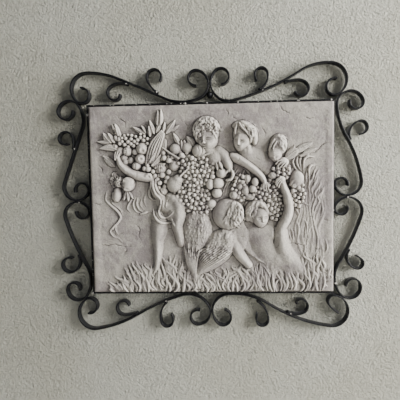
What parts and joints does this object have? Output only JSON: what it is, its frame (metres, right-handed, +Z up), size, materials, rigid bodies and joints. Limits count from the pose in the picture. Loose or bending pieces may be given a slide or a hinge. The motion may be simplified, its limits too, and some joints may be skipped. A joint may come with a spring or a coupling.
{
  "type": "decorative wall plaque",
  "caption": "Rectangular cast stone relief of children with fruit and grapes, held in a black flat-bar iron frame with bent S-scrolls and small hooks, made to hang flat on a wall.",
  "frame": {"origin": "centre of the panel's flat back, on the plane of the wall it hangs on", "axes": "+X to the right seen from the front, +Z up, +Y into the wall, so the relief faces -Y"},
  "size_m": [0.5202, 0.039, 0.4459],
  "materials": {
    "cast_stone": "weathered grey cast stone, matt, with grime in the hollows",
    "black_iron": "satin black paint over hand-bent flat bar"
  },
  "bodies": {
    "root": {"relief_panel": "cast_stone", "rail_bottom": "black_iron", "rail_left": "black_iron", "rail_right": "black_iron", "rail_top": "black_iron", "scroll_bottom_left": "black_iron", "scroll_bottom_right": "black_iron", "scroll_left_lower": "black_iron", "scroll_left_upper": "black_iron", "scroll_right_lower": "black_iron", "scroll_right_upper": "black_iron", "scroll_top_left": "black_iron", "scroll_top_right": "black_iron", "hook_bottom_left_inner": "black_iron", "hook_bottom_left_outer": "black_iron", "hook_bottom_right_inner": "black_iron", "hook_bottom_right_outer": "black_iron", "hook_left_lower": "black_iron", "hook_left_upper": "black_iron", "hook_right_lower": "black_iron", "hook_right_upper": "black_iron", "hook_top_left_inner": "black_iron", "hook_top_left_outer": "black_iron", "hook_top_right_inner": "black_iron", "hook_top_right_outer": "black_iron", "hanging_boss": "black_iron"}
  },
  "joints": []
}
